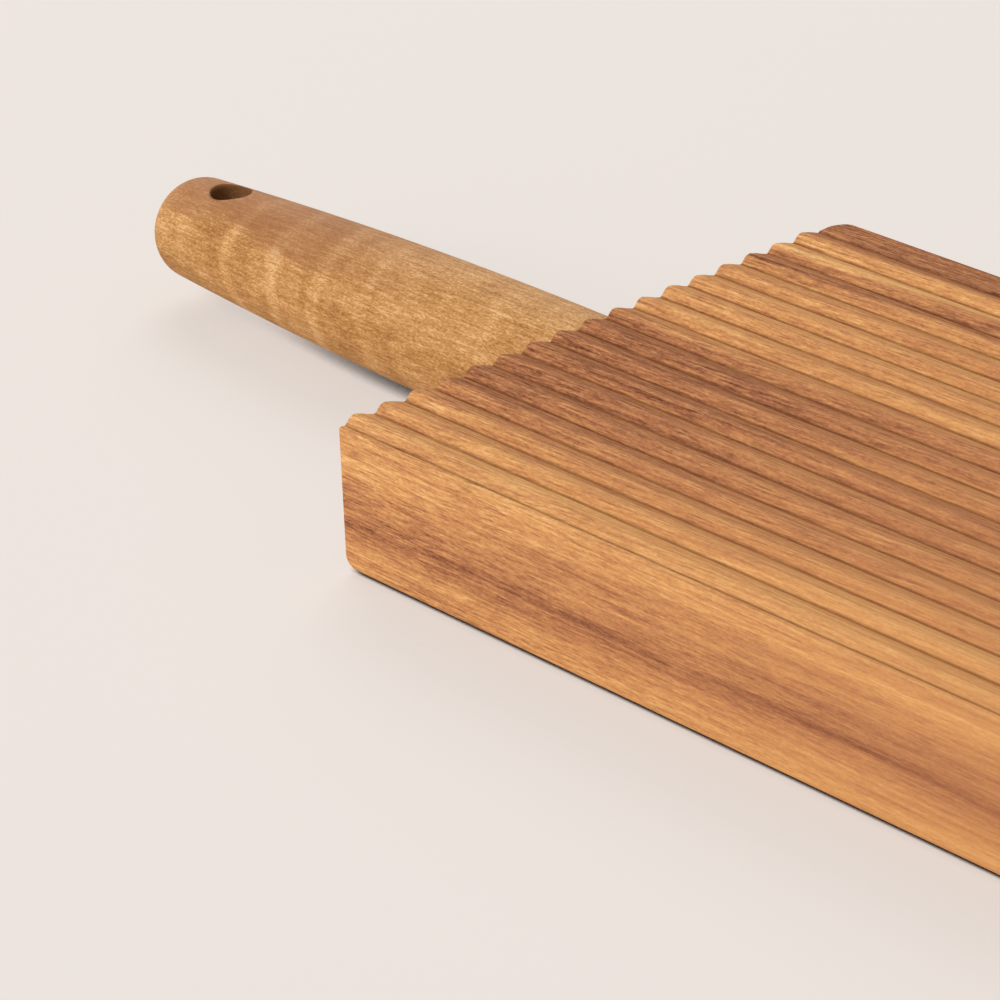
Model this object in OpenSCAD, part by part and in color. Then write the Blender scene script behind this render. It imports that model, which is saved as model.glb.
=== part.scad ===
// Gnocchi board: a ridged hardwood board with a turned handle, held by a glued dowel.
// The origin is at the bottom centre. +X runs from the handle to the free end,
// +Y from the thin front lip to the flat back border, and +Z is up. Sizes in millimetres.

/* [Board] */
// Width across the ridges
board_w = 79.9; // [72:0.1:90]
// Length along the ridges, without the handle
board_len = 205.3; // [150:0.1:260]
// Thickness from the underside to the ridge crests
board_t = 18; // [17:0.5:26]
// Rounding of the two long bottom edges
bottom_r = 0.8; // [0.4:0.1:2]
// Rounding of the bottom edge at both ends
end_bottom_r = 2.6; // [0.4:0.1:3]
// Rounding of the two upright corners at the front face
front_corner_r = 0.4; // [0.2:0.1:3]
// Rounding of the two upright corners at the back face
back_corner_r = 4; // [0.6:0.1:8]

/* [Ridges] */
// Number of full ridges
ridge_count = 17; // [15:1:19]
// Depth of the grooves between the ridges
groove_depth = 1.05; // [0.8:0.05:1.15]
// Slope of the short steep front side of every ridge, in degrees from level
front_slope = 53; // [46:1:60]
// Rounding of the crest
crest_r = 1.15; // [0.7:0.05:1.2]
// Slope, in degrees, at which the crest passes into the long curved back side of the ridge
crest_lean = 6.5; // [3:0.5:10]
// Width of the flat that the cutter leaves at each groove root
root_w = 0.2; // [0.1:0.05:0.3]

/* [Front lip and back border] */
// Width of the low lip in front of the first groove
lip_w = 0.9; // [0.8:0.05:2]
// Height of the lip above the groove roots
lip_rise = 0.1; // [0.05:0.05:0.2]
// Rounding of the lip into the front face
lip_r = 0.6; // [0.2:0.05:1.1]
// Width of the low flat border behind the last groove
back_w = 5.05; // [4:0.05:6]
// Height of the border above the groove roots
back_rise = 0.2; // [0.05:0.05:0.3]
// Rounding of the border into the back face
back_r = 1.3; // [0.4:0.1:1.6]

/* [Handle] */
// Length from the board's end face to the tip
handle_len = 74.7; // [60:0.1:120]
// Radius at the thickest place
swell_r = 8.3; // [7.2:0.1:8.8]
// Distance from the board's end face to the thickest place
swell_at = 12; // [6:1:24]
// Radius where the rounding of the tip begins
neck_r = 6.5; // [5.6:0.1:7.2]
// Rounding of the tip
tip_r = 4.5; // [3:0.1:5.4]
// Sideways place of the handle's axis, from the board's middle
handle_y = -2; // [-6:0.1:6]

/* [Hang hole] */
// Radius of the upright hole near the tip
hang_r = 2.5; // [1.5:0.1:3]
// Distance from the tip to the hole's axis
hang_inset = 10.5; // [8:0.1:16]
// Width of the eased edge at both mouths of the hole
hang_ease = 0.3; // [0.1:0.05:0.5]

/* [Dowel joint] */
// Radius of the dowel
dowel_r = 4; // [3:0.5:5]
// Length of the dowel
dowel_len = 40; // [30:1:50]
// Width of the chamfer at both ends of the dowel
dowel_chamfer = 1; // [0.4:0.1:1.5]
// Number of glue flutes along the dowel
flute_count = 16; // [8:1:20]
// Depth of each glue flute
flute_depth = 0.35; // [0.1:0.05:0.5]
// Glue gap round the dowel
glue_gap = 0.05; // [0.03:0.01:0.12]
// Room for glue at each end of the dowel
end_gap = 0.8; // [0.4:0.1:2]
// Width of the countersink at both mouths of the dowel holes
mouth_ease = 0.5; // [0.2:0.1:1]

/* [Hidden] */
$fn = 96;

// Cuts run this far past the surfaces that they open
past = 1;

// The ridges fill the width between the lip and the back border
pitch = (board_w - lip_w - back_w) / ridge_count;
root_z = board_t - groove_depth;
// Centre of the crest's arc, from the foot of the ridge's front side
crest_c = [
    (cos(front_slope) * (groove_depth - crest_r) + crest_r) / sin(front_slope),
    groove_depth - crest_r];
// The back side is one arc that leaves the crest's arc without a bend and ends at the next groove root
lean = [sin(crest_lean), cos(crest_lean)];
to_root = [pitch - root_w, 0] - crest_c;
back_side_r = (to_root * to_root + crest_r * crest_r - 2 * crest_r * (to_root * lean))
    / (2 * (crest_r - to_root * lean));
back_side_c = crest_c - (back_side_r - crest_r) * lean;
end_lean = atan2(pitch - root_w - back_side_c[0], -back_side_c[1]);
back_step = (end_lean - crest_lean) / 6;
// The lip's rounding takes at most nine tenths of its flat top
lip_flat = lip_w - root_w / 2 - lip_rise / tan(front_slope);
lip_round = min(lip_r, 0.9 * lip_flat);

// The board's handle end, so that the whole part is centred on the origin
end_x = handle_len - (board_len + handle_len) / 2;
axis_z = board_t / 2;
hang_x = end_x - handle_len + hang_inset;

// The handle's long sweep is one arc through the swell and the start of the tip
sweep_run = handle_len - tip_r - swell_at;
sweep_drop = swell_r - neck_r;
sweep_r = (sweep_run * sweep_run + sweep_drop * sweep_drop) / (2 * sweep_drop);
// The tip's arc touches the sweep from inside, and the end plane
tip_c = [
    swell_r - sweep_r + sqrt(pow(sweep_r - tip_r, 2) - sweep_run * sweep_run),
    handle_len - tip_r];
// Radius of the handle at the hang hole, and the height above its axis where the hole's wall ends
hang_wall = swell_r - sweep_r + sqrt(sweep_r * sweep_r - pow(handle_len - hang_inset - swell_at, 2));
hang_top = sqrt(hang_wall * hang_wall - hang_r * hang_r) - hang_ease;

bore_r = dowel_r + glue_gap;
bore_depth = dowel_len / 2 + end_gap;

// Points along an arc, from angle a0 to angle a1
function arc(c, r, a0, a1, steps = 8) = [for (i = [0:steps])
    let (a = a0 + (a1 - a0) * i / steps) c + r * [cos(a), sin(a)]];
// The narrow flat that the cutter leaves in a groove, at distance s from the front face
function root(s) = [[s - root_w / 2, root_z], [s + root_w / 2, root_z]];
// The ridge that starts at distance s: its front side runs up from the root to the crest's arc, and the
// long arc of its back side falls to the root behind it
function ridge(s) =
    let (foot = [s + root_w / 2, root_z])
    concat(
        arc(foot + crest_c, crest_r, 90 + front_slope, 90, 5),
        [foot + crest_c + crest_r * lean],
        arc(foot + back_side_c, back_side_r, 90 - crest_lean - back_step, 90 - end_lean + back_step, 4),
        root(s + pitch));

// End view of the board, with its front face on the Y axis and its underside on the X axis
module end_view() {
    polygon(concat(
        arc([lip_round, root_z + lip_rise - lip_round], lip_round, 180, 90),
        [[lip_flat, root_z + lip_rise]],
        root(lip_w),
        [for (k = [0:ridge_count - 1]) each ridge(lip_w + k * pitch)],
        [[board_w - back_w + root_w / 2 + back_rise / tan(front_slope), root_z + back_rise]],
        arc([board_w - back_r, root_z + back_rise - back_r], back_r, 90, 0),
        arc([board_w - bottom_r, bottom_r], bottom_r, 0, -90),
        arc([bottom_r, bottom_r], bottom_r, 270, 180)));
}

// Rectangle with its lower corners rounded by low_r and its upper ones by high_r
module rounded(size, low_r, high_r) {
    polygon(concat(
        arc([low_r, low_r], low_r, 180, 270),
        arc([size[0] - low_r, low_r], low_r, 270, 360),
        arc([size[0] - high_r, size[1] - high_r], high_r, 0, 90),
        arc([high_r, size[1] - high_r], high_r, 90, 180)));
}

// Blind hole for half of the dowel, from the joint face towards +X, with a countersunk mouth
module dowel_hole() {
    rotate([0, 90, 0]) {
        translate([0, 0, -past]) cylinder(r = bore_r, h = bore_depth + past);
        translate([0, 0, -past])
            cylinder(r1 = bore_r + mouth_ease + past, r2 = bore_r, h = mouth_ease + past);
    }
}

module ridged_board() {
    color("#b98450")
    difference() {
        intersection() {
            translate([end_x, -board_w / 2, 0])
                rotate([90, 0, 90]) linear_extrude(board_len) end_view();
            translate([end_x, -board_w / 2, -past])
                linear_extrude(board_t + 2 * past)
                    rounded([board_len, board_w], front_corner_r, back_corner_r);
            translate([end_x, board_w / 2 + past, 0])
                rotate([90, 0, 0]) linear_extrude(board_w + 2 * past)
                    rounded([board_len, board_t + past], end_bottom_r, past / 2);
        }
        translate([end_x, handle_y, axis_z]) dowel_hole();
    }
}

// Half of the handle's outline: X is the radius and Y the distance from the joint face
module handle_outline() {
    sweep_c = [swell_r - sweep_r, swell_at];
    butt_angle = -asin(swell_at / sweep_r);
    touch_angle = asin((tip_c[1] - swell_at) / (sweep_r - tip_r));
    polygon(concat(
        [[0, 0]],
        arc(sweep_c, sweep_r, butt_angle, touch_angle, steps = 16),
        arc(tip_c, tip_r, touch_angle, 90, steps = 12),
        [[0, handle_len]]));
}

// Upright hole through the handle, with both mouths eased to a cone that meets the round surface
module hang_hole() {
    cone_h = hang_wall - hang_top + past;
    translate([hang_x, handle_y, axis_z - hang_wall - past])
        cylinder(r = hang_r, h = 2 * (hang_wall + past));
    for (side = [0, 180]) {
        translate([hang_x, handle_y, axis_z]) rotate([side, 0, 0]) translate([0, 0, hang_top])
            cylinder(r1 = hang_r, r2 = hang_r + cone_h, h = cone_h);
    }
}

module turned_handle() {
    color("#c79d62")
    difference() {
        translate([end_x, handle_y, axis_z]) rotate([0, -90, 0]) rotate_extrude() handle_outline();
        translate([end_x, handle_y, axis_z]) rotate([0, 0, 180]) dowel_hole();
        hang_hole();
    }
}

// One end of the dowel's blank, as a chamfered cylinder from its middle
module dowel_half() {
    cylinder(r = dowel_r, h = dowel_len / 2 - dowel_chamfer);
    translate([0, 0, dowel_len / 2 - dowel_chamfer])
        cylinder(r1 = dowel_r, r2 = dowel_r - dowel_chamfer, h = dowel_chamfer);
}

module joint_dowel() {
    flute_r = 2 * flute_depth;
    color("#e0c79a")
    translate([end_x, handle_y, axis_z]) rotate([0, 90, 0])
    difference() {
        union() {
            dowel_half();
            mirror([0, 0, 1]) dowel_half();
        }
        for (k = [0:flute_count - 1]) {
            rotate([0, 0, k * 360 / flute_count])
                translate([dowel_r + flute_r - flute_depth, 0, -dowel_len / 2 - past])
                    cylinder(r = flute_r, h = dowel_len + 2 * past, $fn = 24);
        }
    }
}

ridged_board();
turned_handle();
joint_dowel();
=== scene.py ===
import math

import bpy
import bmesh
from mathutils import Matrix, Vector, noise


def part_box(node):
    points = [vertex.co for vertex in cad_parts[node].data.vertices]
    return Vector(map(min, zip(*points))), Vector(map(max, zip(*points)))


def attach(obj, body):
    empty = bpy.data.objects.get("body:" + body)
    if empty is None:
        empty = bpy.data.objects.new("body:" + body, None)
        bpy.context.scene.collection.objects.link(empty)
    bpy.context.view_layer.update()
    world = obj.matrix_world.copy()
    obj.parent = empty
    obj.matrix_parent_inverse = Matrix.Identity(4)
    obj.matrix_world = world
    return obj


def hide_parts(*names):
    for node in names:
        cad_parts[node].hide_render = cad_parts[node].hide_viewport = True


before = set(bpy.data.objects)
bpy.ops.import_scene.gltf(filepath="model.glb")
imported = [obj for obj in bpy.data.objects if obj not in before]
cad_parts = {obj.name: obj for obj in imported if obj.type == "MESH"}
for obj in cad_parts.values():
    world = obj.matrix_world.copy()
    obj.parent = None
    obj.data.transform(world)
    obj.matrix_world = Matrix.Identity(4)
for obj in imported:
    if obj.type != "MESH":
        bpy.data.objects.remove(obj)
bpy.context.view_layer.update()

# The camera
# A long lens looks down at the board from the corner between its free end and its front lip, with
# the horizon a little off level. The free end runs out of the picture on the right.
MM = 0.001
camera_data = bpy.data.cameras.new("photo_camera")
camera_data.lens = 159.65
camera_data.sensor_width = 36
camera_data.clip_end = 50
camera = bpy.data.objects.new("photo_camera", camera_data)
bpy.context.scene.collection.objects.link(camera)
bpy.context.scene.camera = camera
view_azimuth = math.radians(-48.29)
view_elevation = math.radians(25.85)
view_roll = math.radians(-2.175)
camera_place = Vector((270.36, -316.05, 218.0)) * MM

forward = Vector((math.sin(view_azimuth) * math.cos(view_elevation),
                  math.cos(view_azimuth) * math.cos(view_elevation),
                  -math.sin(view_elevation)))
level_right = forward.cross(Vector((0, 0, 1))).normalized()
level_up = level_right.cross(forward)
right = level_right * math.cos(view_roll) + level_up * math.sin(view_roll)
up = level_up * math.cos(view_roll) - level_right * math.sin(view_roll)
camera.matrix_world = (Matrix.Translation(camera_place)
                       @ Matrix((right, up, -forward)).transposed().to_4x4())

# The ridged board
# One block of oiled acacia. The ridges are planed along the grain with a profiled cutter: each has a
# short steep front side, a rounded crest and a long curved back side. The ends are sawn and sanded.
low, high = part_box("ridged_board")
board_len, board_w, board_t = (high - low) / MM
ridge_count = 17
groove_depth = 1.05
front_deg = 53
crest_r = 1.15
lean_deg = 6.5
root_w = 0.2
lip_w = 0.9
lip_rise = 0.1
lip_r = 0.6
back_w = 5.05
back_rise = 0.2
back_r = 1.3
bottom_r = 0.8
end_bottom_r = 2.6
front_corner_r = 0.4
back_corner_r = 4.0
end_ease = 0.15

pitch = (board_w - lip_w - back_w) / ridge_count
root_z = board_t - groove_depth
front_slope = math.radians(front_deg)
lean = Vector((math.sin(math.radians(lean_deg)), math.cos(math.radians(lean_deg))))
# The crest's arc stands on the front side. The arc of the back side leaves it without a bend, and
# ends at the next groove root.
crest_c = Vector(((math.cos(front_slope) * (groove_depth - crest_r) + crest_r) / math.sin(front_slope),
                  groove_depth - crest_r))
to_root = Vector((pitch - root_w, 0)) - crest_c
back_side_r = ((to_root.length_squared + crest_r ** 2 - 2 * crest_r * to_root.dot(lean))
               / (2 * (crest_r - to_root.dot(lean))))
back_side_c = crest_c - (back_side_r - crest_r) * lean
end_deg = math.degrees(math.atan2(pitch - root_w - back_side_c.x, -back_side_c.y))


def arc(centre, radius, start, stop, steps):
    """Points along an arc in the end view, as (distance from the front face, height)."""
    angles = [math.radians(start + (stop - start) * i / steps) for i in range(steps + 1)]
    return [(centre[0] + radius * math.cos(a), centre[1] + radius * math.sin(a)) for a in angles]


outline = arc((lip_r, root_z + lip_rise - lip_r), lip_r, 180, 90, 8)
outline += [(lip_w - root_w / 2 - lip_rise / math.tan(front_slope), root_z + lip_rise),
            (lip_w - root_w / 2, root_z)]
for k in range(ridge_count):
    foot = Vector((lip_w + k * pitch + root_w / 2, root_z))
    outline += [tuple(foot)]
    outline += arc(foot + crest_c, crest_r, 90 + front_deg, 90 - lean_deg, 10)
    outline += arc(foot + back_side_c, back_side_r, 90 - lean_deg, 90 - end_deg, 10)[1:]
back_foot = board_w - back_w + root_w / 2
outline += [(back_foot, root_z), (back_foot + back_rise / math.tan(front_slope), root_z + back_rise)]
outline += arc((board_w - back_r, root_z + back_rise - back_r), back_r, 90, 0, 8)
outline += arc((board_w - bottom_r, bottom_r), bottom_r, 0, -90, 8)
outline += arc((bottom_r, bottom_r), bottom_r, 270, 180, 8)

normals = []
for i in range(len(outline)):
    before, after = outline[i - 1], outline[(i + 1) % len(outline)]
    along = Vector((after[0] - before[0], after[1] - before[1])).normalized()
    normals.append((-along[1], along[0]))


def cut_back(distance, radius):
    """How far a corner of this radius lies inside the square corner, at a distance from the end."""
    return radius - math.sqrt(radius ** 2 - max(0, radius - distance) ** 2)


# Stations along the board: close together over the eased and rounded ends, and even in between
ease_steps = 4
step_count = 90
end_stations = [end_ease * (1 - math.cos(math.pi / 2 * i / ease_steps)) for i in range(ease_steps + 1)]
end_stations += [back_corner_r * (1 - math.cos(math.radians(a))) for a in range(22, 91, 8)]
step = (board_len - 2 * end_stations[-1]) / step_count
stations = (end_stations + [end_stations[-1] + step * i for i in range(1, step_count)]
            + [board_len - x for x in reversed(end_stations)])

# The ridges are worn along their crests, flattened on their back sides and worn most at their ends, and
# the cutter wandered by a tenth of a millimetre. Wear and wander come in patches of uneven noise.
end_wear, end_wear_reach = 0.10, 2.0
end_patch_length, end_patch_width = 50, 3.3
crest_wear = 0.05
crest_patch_length, crest_patch_width = 9, 3.1
back_side_wear = 0.10
wander_size, wander_length, wander_width = 0.12, 34, 11
# The wander fades out this near to the front and the back face
steady_edge = 8
# The root line of oil and painted shade climbs a little higher on a groove's back side than on its front
# side
back_side_oil_and_shade = 1.15
board_mesh = bmesh.new()
groove_layer = board_mesh.verts.layers.float.new("groove")
rings = []
for x in stations:
    from_end = min(x, board_len - x)
    ring, points = [], {}
    for (s, z), n in zip(outline, normals):
        inset = cut_back(from_end, end_ease)
        on_top = z > root_z - 0.1 and lip_w - root_w < s < board_w - back_r
        wander, wear = 0.0, 0.0
        if on_top:
            middle_share = min(1, s / steady_edge, (board_w - s) / steady_edge)
            patch = noise.noise(Vector((x / wander_length, s / wander_width, 2.2)))
            wander = wander_size * middle_share * patch
            patch = noise.noise(Vector((x / crest_patch_length, s / crest_patch_width, 4.7)))
            wear = crest_wear * (1 + patch)
            end_part = max(0, 1 - from_end / end_wear_reach) ** 2
            patch = noise.noise(Vector((x / end_patch_length, s / end_patch_width, 9.1)))
            wear += end_wear * end_part * (1 + patch)
            wear *= min(1, max(0, (z - root_z) / groove_depth * 2))
        # The back side's wear is greatest halfway down, and none at the crest and at the root
        behind_crest = (s - lip_w - root_w / 2) % pitch - crest_c.x
        if on_top and behind_crest > 0:
            back_share = min(1, behind_crest / (pitch - root_w - crest_c.x))
            wear += back_side_wear * 4 * back_share * (1 - back_share)
        y = min(max(s - n[0] * inset + wander, cut_back(from_end, front_corner_r)),
                board_w - cut_back(from_end, back_corner_r))
        z_here = max(z - n[1] * inset - wear, cut_back(from_end, end_bottom_r))
        spot = (round(y, 3), round(z_here, 3))
        if spot not in points:
            points[spot] = board_mesh.verts.new((low.x / MM + x, low.y / MM + y, z_here))
            darkened = (board_t - z) / groove_depth * (back_side_oil_and_shade if behind_crest > 0 else 1)
            points[spot][groove_layer] = max(0, min(1, darkened)) if on_top else 0
        ring.append(points[spot])
    rings.append(ring)
for ring, following in zip(rings, rings[1:]):
    for i in range(len(ring)):
        j = (i + 1) % len(ring)
        corners = list(dict.fromkeys((ring[i], ring[j], following[j], following[i])))
        if len(corners) > 2:
            board_mesh.faces.new(corners)
far_end = board_mesh.faces.new(list(dict.fromkeys(rings[-1])))
for edge in far_end.edges:
    edge.smooth = False

# The handle end has the blind hole for the dowel
handle_low, handle_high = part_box("turned_handle")
axis_y = (handle_low.y + handle_high.y) / 2 / MM
axis_z = (handle_low.z + handle_high.z) / 2 / MM
dowel_low, dowel_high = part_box("joint_dowel")
dowel_r = (dowel_high.z - dowel_low.z) / 2 / MM
glue_gap = 0.05
end_gap = 0.8
mouth_ease = 0.5
bore_r = dowel_r + glue_gap
bore_depth = (dowel_high.x - low.x) / MM + end_gap
bore_sides = 48


def drill(mesh, face_x, direction, rim):
    """Blind dowel hole in a flat joint face that ends at the rim, with a countersunk mouth."""
    turn = [2 * math.pi * i / bore_sides for i in range(bore_sides)]
    hole = []
    for depth, radius in ((0, bore_r + mouth_ease), (mouth_ease, bore_r), (bore_depth, bore_r)):
        hole.append([mesh.verts.new((face_x + direction * depth, axis_y + radius * math.cos(a),
                                     axis_z + radius * math.sin(a))) for a in turn])
    for ring, following in zip(hole, hole[1:]):
        for i in range(bore_sides):
            j = (i + 1) % bore_sides
            mesh.faces.new((ring[i], ring[j], following[j], following[i]))
    mesh.faces.new(hole[-1])
    edges = [mesh.edges.get((loop[i - 1], loop[i])) for loop in (hole[0], rim) for i in range(len(loop))]
    for edge in edges:
        edge.smooth = False
    bmesh.ops.triangle_fill(mesh, edges=edges, use_beauty=True)


drill(board_mesh, low.x / MM, 1, list(dict.fromkeys(rings[0])))


def finished(mesh, name, sharp_angle):
    """A piece from a mesh made in millimetres, smooth but for edges sharper than the angle."""
    bmesh.ops.recalc_face_normals(mesh, faces=mesh.faces)
    bmesh.ops.scale(mesh, vec=(MM, MM, MM), verts=mesh.verts)
    for face in mesh.faces:
        face.smooth = True
    for edge in mesh.edges:
        if len(edge.link_faces) == 2 and edge.calc_face_angle() > math.radians(sharp_angle):
            edge.smooth = False
    data = bpy.data.meshes.new(name)
    mesh.to_mesh(data)
    mesh.free()
    piece = bpy.data.objects.new(name, data)
    bpy.context.scene.collection.objects.link(piece)
    return piece


crisp_edge_deg = 35
board = finished(board_mesh, "acacia_board", crisp_edge_deg)


def linear(hex_colour):
    """An sRGB hex colour as the linear RGBA that a shader takes."""
    channels = [int(hex_colour[i:i + 2], 16) / 255 for i in (1, 3, 5)]
    return [c / 12.92 if c <= 0.04045 else ((c + 0.055) / 1.055) ** 2.4 for c in channels] + [1.0]


def add(tree, kind, inputs=None, stops=None, **settings):
    """Adds a shader node with its settings, values, links and ramp stops, and gives its first output."""
    node = tree.nodes.new("ShaderNode" + kind)
    for name, value in settings.items():
        setattr(node, name, value)
    for key, value in (inputs or {}).items():
        if isinstance(value, bpy.types.NodeSocket):
            tree.links.new(value, node.inputs[key])
        else:
            node.inputs[key].default_value = value
    for i, (place, colour) in enumerate(stops or []):
        element = node.color_ramp.elements[i] if i < 2 else node.color_ramp.elements.new(place)
        element.position, element.color = place, colour
    return node.outputs[0] if node.outputs else node


# Oiled acacia, planed: growth bands of gold, tan and red-brown lie slanted in the block and run out
# along it as long streaks, with fine mottled fibre, open pores, pale flecks and darker groove roots.
acacia = bpy.data.materials.new("oiled_acacia_planed")
acacia.use_nodes = True
tree = acacia.node_tree
tree.nodes.clear()
spot = add(tree, "TexCoord").node.outputs["Object"]
# Millimetres from the handle end, the front face and the underside
in_mm = add(tree, "Mapping", {"Vector": spot, "Location": (-low.x / MM, -low.y / MM, 0),
                              "Scale": (1 / MM, 1 / MM, 1 / MM)})
axes = add(tree, "SeparateXYZ", {"Vector": in_mm}).node
along, across, height = axes.outputs["X"], axes.outputs["Y"], axes.outputs["Z"]

# The growth bands waver: one wave takes some 80 mm of the board's length
wave_length, wave_width, wave_size = 80, 16, 5.0
drawn_out = add(tree, "Mapping", {"Vector": in_mm, "Location": (7, 0, 0),
                                  "Scale": (1 / wave_length, 1 / wave_width, 1 / wave_width)})
wave = add(tree, "TexNoise", {"Vector": drawn_out, "Scale": 1.0, "Detail": 1.0})
wave = add(tree, "Math", {0: wave, 1: 0.5}, operation="SUBTRACT")
waver = add(tree, "Math", {0: wave, 1: wave_size}, operation="MULTIPLY")

# They slant through the thickness at 45 degrees, and climb slightly towards the free end
band_climb = 0.028
band = add(tree, "Math", {0: across, 1: height}, operation="ADD")
band = add(tree, "Math", {0: band, 1: waver}, operation="ADD")
band = add(tree, "Math", {0: along, 1: -band_climb, 2: band}, operation="MULTIPLY_ADD")
band = add(tree, "Math", {0: band, 1: board_t}, operation="SUBTRACT")

# Lightness of the growth bands, by their distance in mm behind the front top edge
band_low, band_high = -20.0, 82.0
# The pale tones at -20 and -18 mm run along the rounded bottom edge of the front face: growth band and
# painted highlight.
band_tones = [(-20, .76), (-18, .71), (-16, .64), (-14.2, .53), (-13.0, .38), (-11.8, .54),
              (-8, .62), (-5.4, .77), (-2.6, .70), (1.5, .75), (6, .71), (10, .66), (15, .57),
              (19, .57), (23, .59), (26, .52), (30, .60), (34, .54), (37.5, .52), (40, .57),
              (43, .70), (48, .71), (52, .69), (57, .68), (61.5, .67), (63.4, .45), (66, .55),
              (67.6, .81), (70.5, .78), (72.5, .43), (77, .43), (82, .48)]
band_share = add(tree, "MapRange", {"Value": band, "From Min": band_low, "From Max": band_high})
tone = add(tree, "ValToRGB", {"Fac": band_share},
           stops=[((mm - band_low) / (band_high - band_low), (v, v, v, 1)) for mm, v in band_tones])

# A dark cloud of heartwood lies at the handle end, and thins out along the board. Its places along and
# across are in mm, and its sides are measured on the bands.
cloud_strength = 0.15
cloud_full, cloud_end, cloud_waver = 30, 90, 60
cloud_sides = ((10, 17), (46, 40))
drawn_out = add(tree, "Mapping", {"Vector": in_mm, "Location": (3.1, 0, 0),
                                  "Scale": (1 / 30, 1 / 4, 1 / 4)})
cloud_edge = add(tree, "TexNoise", {"Vector": drawn_out, "Scale": 1.0, "Detail": 3.0, "Roughness": 0.6})
cloud_edge = add(tree, "Math", {0: cloud_edge, 1: cloud_waver, 2: along}, operation="MULTIPLY_ADD")
cloud = add(tree, "MapRange", {"Value": cloud_edge, "From Min": cloud_full, "From Max": cloud_end,
                               "To Min": cloud_strength, "To Max": 0.0}, interpolation_type="SMOOTHSTEP")
for start, full in cloud_sides:
    side = add(tree, "MapRange", {"Value": band, "From Min": start, "From Max": full},
               interpolation_type="SMOOTHSTEP")
    cloud = add(tree, "Math", {0: cloud, 1: side}, operation="MULTIPLY")
tone = add(tree, "Math", {0: tone, 1: cloud}, operation="SUBTRACT")

# The grain flows along the bands. Its streaks go from broad bands to single fibres, each with a length
# and a width in mm and a strength, and the finest are drawn as coarse as they need to show. Towards the
# free end the wood is calmer, and the fibres stand out less.
flow = add(tree, "Math", {0: across, 1: waver}, operation="ADD")
flow = add(tree, "Math", {0: along, 1: -band_climb, 2: flow}, operation="MULTIPLY_ADD")
flow = add(tree, "CombineXYZ", {"X": along, "Y": flow, "Z": height})
calm_start, calm_full, calm_share = 5, 95, 0.3
crisp = add(tree, "MapRange", {"Value": along, "From Min": calm_start, "From Max": calm_full,
                               "To Min": 1.0, "To Max": calm_share})
streaks = ((110, 2.6, 0.30), (60, 0.9, 0.36), (22, 0.42, 0.52), (8, 0.30, 0.64), (2.4, 0.22, 0.85),
           (0.6, 0.20, 0.60))
single_fibre = 0.5
fibre = 0.0
for length, width, strength in streaks:
    drawn_out = add(tree, "Mapping", {"Vector": flow, "Location": (length, width, strength),
                                      "Scale": (1 / length, 1 / width, 1 / width)})
    streak = add(tree, "TexNoise", {"Vector": drawn_out, "Scale": 1.0, "Detail": 2.0, "Roughness": 0.6})
    streak = add(tree, "Math", {0: streak, 1: 0.5}, operation="SUBTRACT")
    if width < single_fibre:
        streak = add(tree, "Math", {0: streak, 1: crisp}, operation="MULTIPLY")
    fibre = add(tree, "Math", {0: streak, 1: strength, 2: fibre}, operation="MULTIPLY_ADD")
tone = add(tree, "Math", {0: tone, 1: fibre}, operation="ADD")

wood = add(tree, "ValToRGB", {"Fac": tone}, stops=[
    (0.00, linear("#4f2d1f")), (0.18, linear("#7b4b34")), (0.36, linear("#9d6647")),
    (0.55, linear("#bc8055")), (0.74, linear("#d39860")), (0.92, linear("#e5ae70")),
    (1.00, linear("#efbf86"))])

# Pores are open vessels, cut along the grain into short dark dashes. Flecks are dry raised fibre. Each
# has a length and a width in mm, the noise values between which it comes in, a strength and a colour.
pores = (4.0, 0.24, 0.62, 0.74, 0.40, "#5c3826")
flecks = (1.6, 0.22, 0.64, 0.74, 0.34, "#e0b48e")
for length, width, start, full, strength, colour in (pores, flecks):
    drawn_out = add(tree, "Mapping", {"Vector": flow, "Location": (width, length, start),
                                      "Scale": (1 / length, 1 / width, 1 / width)})
    mark = add(tree, "TexNoise", {"Vector": drawn_out, "Scale": 1.0, "Detail": 1.0})
    mark = add(tree, "MapRange", {"Value": mark, "From Min": start, "From Max": full, "To Max": strength},
               interpolation_type="SMOOTHSTEP")
    mark = add(tree, "Math", {0: mark, 1: crisp}, operation="MULTIPLY")
    wood = add(tree, "MixRGB", {"Fac": mark, "Color1": wood, "Color2": linear(colour)})

# The groove roots hold a dark line over the lowest sixth of the groove: partly oil, partly painted shade of
# the crease
oil_and_shade_start, oil_and_shade_strength = 0.83, 0.48
groove = add(tree, "Attribute", attribute_name="groove").node.outputs["Fac"]
crease_shade_and_oil = add(tree, "MapRange", {"Value": groove, "From Min": oil_and_shade_start, "From Max": 1.0,
                             "To Max": oil_and_shade_strength}, interpolation_type="SMOOTHSTEP")
wood = add(tree, "MixRGB", {"Fac": crease_shade_and_oil, "Color1": wood, "Color2": linear("#5c3210")})

# The end grain drinks more oil than the sides, and is darker where the surface faces the ends
end_start, end_full, end_strength = 0.6, 0.95, 0.4
facing = add(tree, "SeparateXYZ", {"Vector": add(tree, "TexCoord").node.outputs["Normal"]})
end_face = add(tree, "Math", {0: facing}, operation="ABSOLUTE")
end_face = add(tree, "MapRange", {"Value": end_face, "From Min": end_start, "From Max": end_full,
                                  "To Max": end_strength})
wood = add(tree, "MixRGB", {"Fac": end_face, "Color1": wood, "Color2": linear("#6e4026")})

# The planed fibres stand up by a tenth of a millimetre at most
fibre_relief = 0.1 * MM
bump = add(tree, "Bump", {"Height": fibre, "Strength": 0.3, "Distance": fibre_relief})
shader = add(tree, "BsdfPrincipled", {"Base Color": wood, "Roughness": 0.7, "Normal": bump,
                                      "IOR": 1.48, "Specular IOR Level": 0.01})
add(tree, "OutputMaterial", {"Surface": shader})
board.data.materials.append(acacia)
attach(board, "root")
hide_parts("ridged_board")

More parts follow.
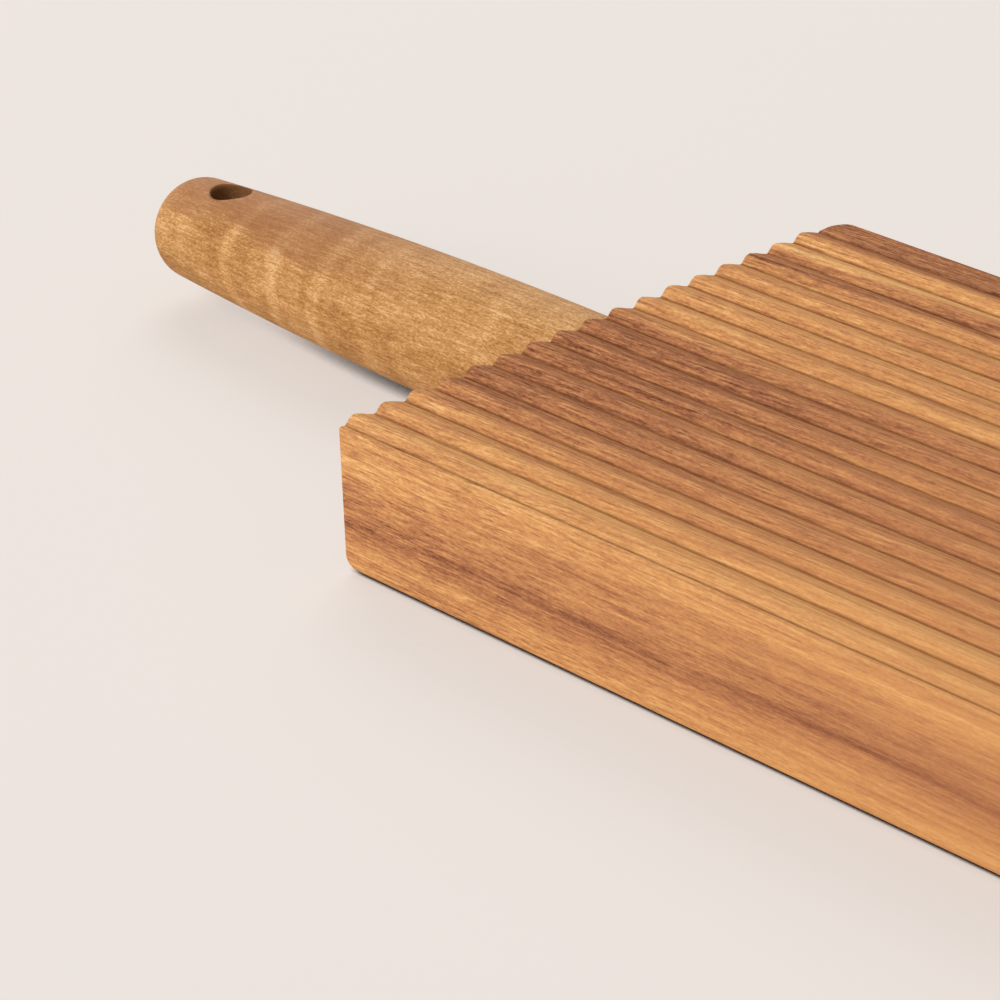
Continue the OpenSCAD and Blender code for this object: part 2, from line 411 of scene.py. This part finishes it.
# The turned handle
# Lighter acacia turned on a lathe to a long swell and a round tip, sanded and oiled, with an upright
# hang hole drilled through near its tip. It butts against the board's end over the dowel.
handle_len = (handle_high.x - handle_low.x) / MM
swell_r = (handle_high.z - handle_low.z) / 2 / MM
swell_at = 12.0
neck_r = 6.5
tip_r = 4.5
sweep_run = handle_len - tip_r - swell_at
sweep_drop = swell_r - neck_r
sweep_r = (sweep_run ** 2 + sweep_drop ** 2) / (2 * sweep_drop)
tip_centre = swell_r - sweep_r + math.sqrt((sweep_r - tip_r) ** 2 - sweep_run ** 2)
touch = math.asin(sweep_run / (sweep_r - tip_r))
sweep_start = -math.asin(swell_at / sweep_r)
sweep_steps = 70
tip_steps = 18
profile = []
for i in range(sweep_steps + 1):
    a = sweep_start + (touch - sweep_start) * i / sweep_steps
    profile.append((swell_at + sweep_r * math.sin(a), swell_r - sweep_r + sweep_r * math.cos(a)))
for i in range(1, tip_steps + 1):
    a = touch + (math.pi / 2 - touch) * i / tip_steps
    profile.append((handle_len - tip_r + tip_r * math.sin(a), tip_centre + tip_r * math.cos(a)))

handle_mesh = bmesh.new()
turn_steps = 128
face_x = handle_high.x / MM
handle_rings = []
for run, radius in profile:
    turn = [2 * math.pi * i / turn_steps for i in range(turn_steps)]
    handle_rings.append([handle_mesh.verts.new((face_x - run, axis_y + radius * math.cos(a),
                                                axis_z + radius * math.sin(a))) for a in turn])
for ring, following in zip(handle_rings, handle_rings[1:]):
    for i in range(turn_steps):
        j = (i + 1) % turn_steps
        handle_mesh.faces.new((ring[i], ring[j], following[j], following[i]))
handle_mesh.faces.new(handle_rings[-1])
drill(handle_mesh, face_x, -1, handle_rings[0])
handle = finished(handle_mesh, "turned_grip", crisp_edge_deg)

# The drill for the hang hole flares at both mouths, as sandpaper eases the edge
hang_r = 2.5
hang_inset = 10.5
hang_ease = 0.3
flare_r = 0.8
hang_x = handle_low.x / MM + hang_inset
hang_wall = swell_r - sweep_r + math.sqrt(sweep_r ** 2 - (handle_len - hang_inset - swell_at) ** 2)
flare_start = math.sqrt(hang_wall ** 2 - hang_r ** 2) - hang_ease
flare_steps = 12
drill_profile = [(0.0, hang_r)]
for i in range(flare_steps + 1):
    a = math.pi / 2 * i / flare_steps
    drill_profile.append((flare_start + flare_r * math.sin(a), hang_r + flare_r * (1 - math.cos(a))))
drill_profile.append((hang_wall + 1, hang_r + flare_r + 1))
drill_profile = [(-h, r) for h, r in reversed(drill_profile[1:])] + drill_profile
cutter_mesh = bmesh.new()
cut_steps = 64
cut_rings = []
for h, r in drill_profile:
    turn = [2 * math.pi * i / cut_steps for i in range(cut_steps)]
    cut_rings.append([cutter_mesh.verts.new((hang_x + r * math.cos(a), axis_y + r * math.sin(a),
                                             axis_z + h)) for a in turn])
for ring, following in zip(cut_rings, cut_rings[1:]):
    for i in range(cut_steps):
        j = (i + 1) % cut_steps
        cutter_mesh.faces.new((ring[i], ring[j], following[j], following[i]))
cutter_mesh.faces.new(cut_rings[0])
cutter_mesh.faces.new(cut_rings[-1])
cutter = finished(cutter_mesh, "hang_drill", 180)
cut = handle.modifiers.new("hang_hole", "BOOLEAN")
cut.operation = "DIFFERENCE"
cut.solver = "EXACT"
cut.object = cutter
drilled = bpy.data.meshes.new_from_object(handle.evaluated_get(bpy.context.evaluated_depsgraph_get()))
handle.modifiers.clear()
handle.data = drilled
bpy.data.objects.remove(cutter)

# Oiled acacia, turned: the lathe cuts across the fibres, so they stand in short specks with soft
# cross figure, and the darker heartwood shows as a ruddy patch along the top, round the hang hole.
turned = bpy.data.materials.new("oiled_acacia_turned")
turned.use_nodes = True
tree = turned.node_tree
tree.nodes.clear()
spot = add(tree, "TexCoord").node.outputs["Object"]
# Millimetres from the tip, the axis sideways and the axis upwards
in_mm = add(tree, "Mapping", {"Vector": spot, "Location": (-handle_low.x / MM, -axis_y, -axis_z),
                              "Scale": (1 / MM, 1 / MM, 1 / MM)})
axes = add(tree, "SeparateXYZ", {"Vector": in_mm}).node
from_tip, sideways, upwards = axes.outputs["X"], axes.outputs["Y"], axes.outputs["Z"]

# Cross figure, clouds, streaks and specks, each with a length and a width in mm and a strength
figure = ((4.5, 14, 0.50), (26, 9, 0.60), (18, 0.6, 0.45), (3.0, 0.34, 0.9), (0.5, 0.18, 1.3))
fibre = 0.0
for length, width, strength in figure:
    drawn_out = add(tree, "Mapping", {"Vector": in_mm, "Location": (length, width, strength),
                                      "Scale": (1 / length, 1 / width, 1 / width)})
    streak = add(tree, "TexNoise", {"Vector": drawn_out, "Scale": 1.0, "Detail": 2.0, "Roughness": 0.6})
    streak = add(tree, "Math", {0: streak, 1: 0.5}, operation="SUBTRACT")
    fibre = add(tree, "Math", {0: streak, 1: strength, 2: fibre}, operation="MULTIPLY_ADD")
middle_tone = 0.63
tone = add(tree, "Math", {0: fibre, 1: middle_tone}, operation="ADD")

# Pale curls cross the grain behind the hang hole. They waver, come in behind the hole and fade out
# towards the board. Places and sizes are in mm.
curl_pitch, curl_phase, curl_waver = 8.5, -1.0, 5.0
curl_start, curl_strength = 0.35, 0.18
curl_reach = ((11, 15), (50, 36))
drawn_out = add(tree, "Mapping", {"Vector": in_mm, "Scale": (1 / 14, 1 / 7, 1 / 7)})
curl = add(tree, "TexNoise", {"Vector": drawn_out, "Scale": 1.0, "Detail": 2.0})
curl = add(tree, "Math", {0: curl, 1: curl_waver, 2: from_tip}, operation="MULTIPLY_ADD")
curl = add(tree, "Math", {0: curl, 1: 2 * math.pi / curl_pitch, 2: curl_phase},
           operation="MULTIPLY_ADD")
curl = add(tree, "Math", {0: curl}, operation="SINE")
curl = add(tree, "MapRange", {"Value": curl, "From Min": curl_start, "From Max": 1.0,
                              "To Max": curl_strength}, interpolation_type="SMOOTHSTEP")
for none, full in curl_reach:
    reach_share = add(tree, "MapRange", {"Value": from_tip, "From Min": none, "From Max": full})
    curl = add(tree, "Math", {0: curl, 1: reach_share}, operation="MULTIPLY")
tone = add(tree, "Math", {0: tone, 1: curl}, operation="ADD")
wood = add(tree, "ValToRGB", {"Fac": tone}, stops=[
    (0.0, linear("#7c502c")), (0.3, linear("#9e6c3c")), (0.6, linear("#bc8850")),
    (0.85, linear("#d3a068")), (1.0, linear("#e3b882"))])

# The ruddy heartwood covers the top from the tip on, above a wavering edge, and fades out towards the
# board. Places are in mm above the handle's axis and from its tip.
ruddy_waver, ruddy_edge, ruddy_full, ruddy_strength = 5.0, 6.3, 8.3, 0.6
ruddy_none, ruddy_whole = 56, 26
drawn_out = add(tree, "Mapping", {"Vector": in_mm, "Scale": (1 / 18, 1 / 3, 1 / 3)})
ruddy = add(tree, "TexNoise", {"Vector": drawn_out, "Scale": 1.0, "Detail": 3.0})
ruddy = add(tree, "Math", {0: ruddy, 1: ruddy_waver, 2: upwards}, operation="MULTIPLY_ADD")
ruddy = add(tree, "MapRange", {"Value": ruddy, "From Min": ruddy_edge, "From Max": ruddy_full,
                               "To Max": ruddy_strength}, interpolation_type="SMOOTHSTEP")
ruddy_reach = add(tree, "MapRange", {"Value": from_tip, "From Min": ruddy_none, "From Max": ruddy_whole})
ruddy = add(tree, "Math", {0: ruddy, 1: ruddy_reach}, operation="MULTIPLY")
wood = add(tree, "MixRGB", {"Fac": ruddy, "Color1": wood, "Color2": linear("#9a6444")})

# The wall of the hang hole is darker, and the darkening ends at the hole's mouths
drill_axis = (hang_inset, 0, 0)
mouth_width = 0.4
flat = add(tree, "CombineXYZ", {"X": from_tip, "Y": sideways})
from_drill = add(tree, "VectorMath", {0: flat, 1: drill_axis}, operation="DISTANCE").node.outputs["Value"]
darker_hole_wall = add(tree, "MapRange", {"Value": from_drill, "From Min": hang_r,
                                   "From Max": hang_r + mouth_width, "To Min": 0.6, "To Max": 0.0},
                interpolation_type="SMOOTHSTEP")
wood = add(tree, "MixRGB", {"Fac": darker_hole_wall, "Color1": wood, "Color2": linear("#55301a")})

# Turned and sanded fibres stand up less than planed ones
fibre_relief = 0.08 * MM
bump = add(tree, "Bump", {"Height": fibre, "Strength": 0.3, "Distance": fibre_relief})
shader = add(tree, "BsdfPrincipled", {"Base Color": wood, "Roughness": 0.6, "Normal": bump,
                                      "IOR": 1.48, "Specular IOR Level": 0.1})
add(tree, "OutputMaterial", {"Surface": shader})
handle.data.materials.clear()
handle.data.materials.append(turned)
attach(handle, "root")
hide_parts("turned_handle")

# The dowel
# A standard fluted beech dowel, compressed and left bare, glued half into each piece. It is hidden,
# and pale beech with short darker ray flecks.
beech = bpy.data.materials.new("beech_fluted")
beech.use_nodes = True
tree = beech.node_tree
tree.nodes.clear()
spot = add(tree, "TexCoord").node.outputs["Object"]
ray_length, ray_width = 2.5 * MM, 0.3 * MM
drawn_out = add(tree, "Mapping", {"Vector": spot, "Scale": (1 / ray_length, 1 / ray_width, 1 / ray_width)})
rays = add(tree, "TexNoise", {"Vector": drawn_out, "Scale": 1.0, "Detail": 2.0, "Roughness": 0.6})
wood = add(tree, "ValToRGB", {"Fac": rays}, stops=[
    (0.3, linear("#d9bd92")), (0.6, linear("#e6cfa8")), (0.8, linear("#c49d70"))])
shader = add(tree, "BsdfPrincipled", {"Base Color": wood, "Roughness": 0.7, "IOR": 1.45})
add(tree, "OutputMaterial", {"Surface": shader})
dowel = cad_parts["joint_dowel"]
dowel.data.materials.clear()
dowel.data.materials.append(beech)

# The floor
# A plain sheet of warm white matt paper. It fills the view, keeps the board's soft shadow and lies a
# tenth of a millimetre low, so that it doesn't cut into the underside.
floor_data = bpy.data.meshes.new("studio_floor")
reach = 6.0
floor_gap = 0.1 * MM
floor_data.from_pydata([(-reach, -reach, 0), (reach, -reach, 0), (reach, reach, 0), (-reach, reach, 0)], [],
                       [(0, 1, 2, 3)])
floor = bpy.data.objects.new("studio_floor", floor_data)
bpy.context.scene.collection.objects.link(floor)
floor.location.z = -floor_gap
paper = bpy.data.materials.new("matt_paper_sheet")
paper.use_nodes = True
tree = paper.node_tree
tree.nodes.clear()
paper_colour = linear("#eae3dc")
sheet = add(tree, "BsdfPrincipled", {"Base Color": paper_colour, "Roughness": 0.9,
                                     "Specular IOR Level": 0.1})
# The dark sheet of the painted contact shadow
gap = add(tree, "BsdfPrincipled", {"Base Color": linear("#241610"), "Roughness": 0.9,
                                   "Specular IOR Level": 0.1})
# Seen straight, the sheet is washed with light of its own, so that shadows on it stay faint. The narrow
# gaps under the wood get a painted contact shadow, dark where little sky shows within the gap's reach.
wash_share = 0.6
gap_reach = 2.6 * MM
gap_full, gap_none = 0.20, 0.57
wash = add(tree, "Emission", {"Color": linear("#ece4de"), "Strength": 1.0})
straight = add(tree, "LightPath").node.outputs["Is Camera Ray"]
clear = add(tree, "AmbientOcclusion", {"Distance": gap_reach}, samples=8).node.outputs["AO"]
clear = add(tree, "MapRange", {"Value": clear, "From Min": gap_full, "From Max": gap_none},
            interpolation_type="SMOOTHSTEP")
washed = add(tree, "MixShader", {"Fac": wash_share, 1: sheet, 2: wash})
seen = add(tree, "MixShader", {"Fac": clear, 1: gap, 2: washed})
add(tree, "OutputMaterial", {"Surface": add(tree, "MixShader", {"Fac": straight, 1: sheet, 2: seen})})
floor_data.materials.append(paper)

# The light
# A wide soft box over the camera's left shoulder, another behind the handle, and a pale studio
# all round. Straight views and reflections see the studio as bright as the paper.
world = bpy.data.worlds.new("pale_studio")
bpy.context.scene.world = world
world.use_nodes = True
tree = world.node_tree
tree.nodes.clear()
fill = add(tree, "Background", {"Color": linear("#ffffff"), "Strength": 0.33})
seen = add(tree, "Background", {"Color": paper_colour, "Strength": 1.0})
rays = add(tree, "LightPath").node
direct = rays.outputs["Is Camera Ray"]
for other in ("Is Glossy Ray", "Is Transmission Ray"):
    direct = add(tree, "Math", {0: direct, 1: rays.outputs[other]}, operation="MAXIMUM")
add(tree, "OutputWorld", {"Surface": add(tree, "MixShader", {"Fac": direct, 1: fill, 2: seen})})
for name, place, size, power in (("front_soft_box", (-0.3, -1.6, 1.1), 1.5, 30),
                                 ("back_soft_box", (-1.2, 1.03, 1.25), 1.4, 21)):
    lamp = bpy.data.lights.new(name, "AREA")
    lamp.size = size
    lamp.energy = power
    soft_box = bpy.data.objects.new(name, lamp)
    bpy.context.scene.collection.objects.link(soft_box)
    soft_box.location = place
    soft_box.rotation_euler = (-soft_box.location).to_track_quat("-Z", "Y").to_euler()

bpy.context.scene.view_settings.view_transform = "Standard"
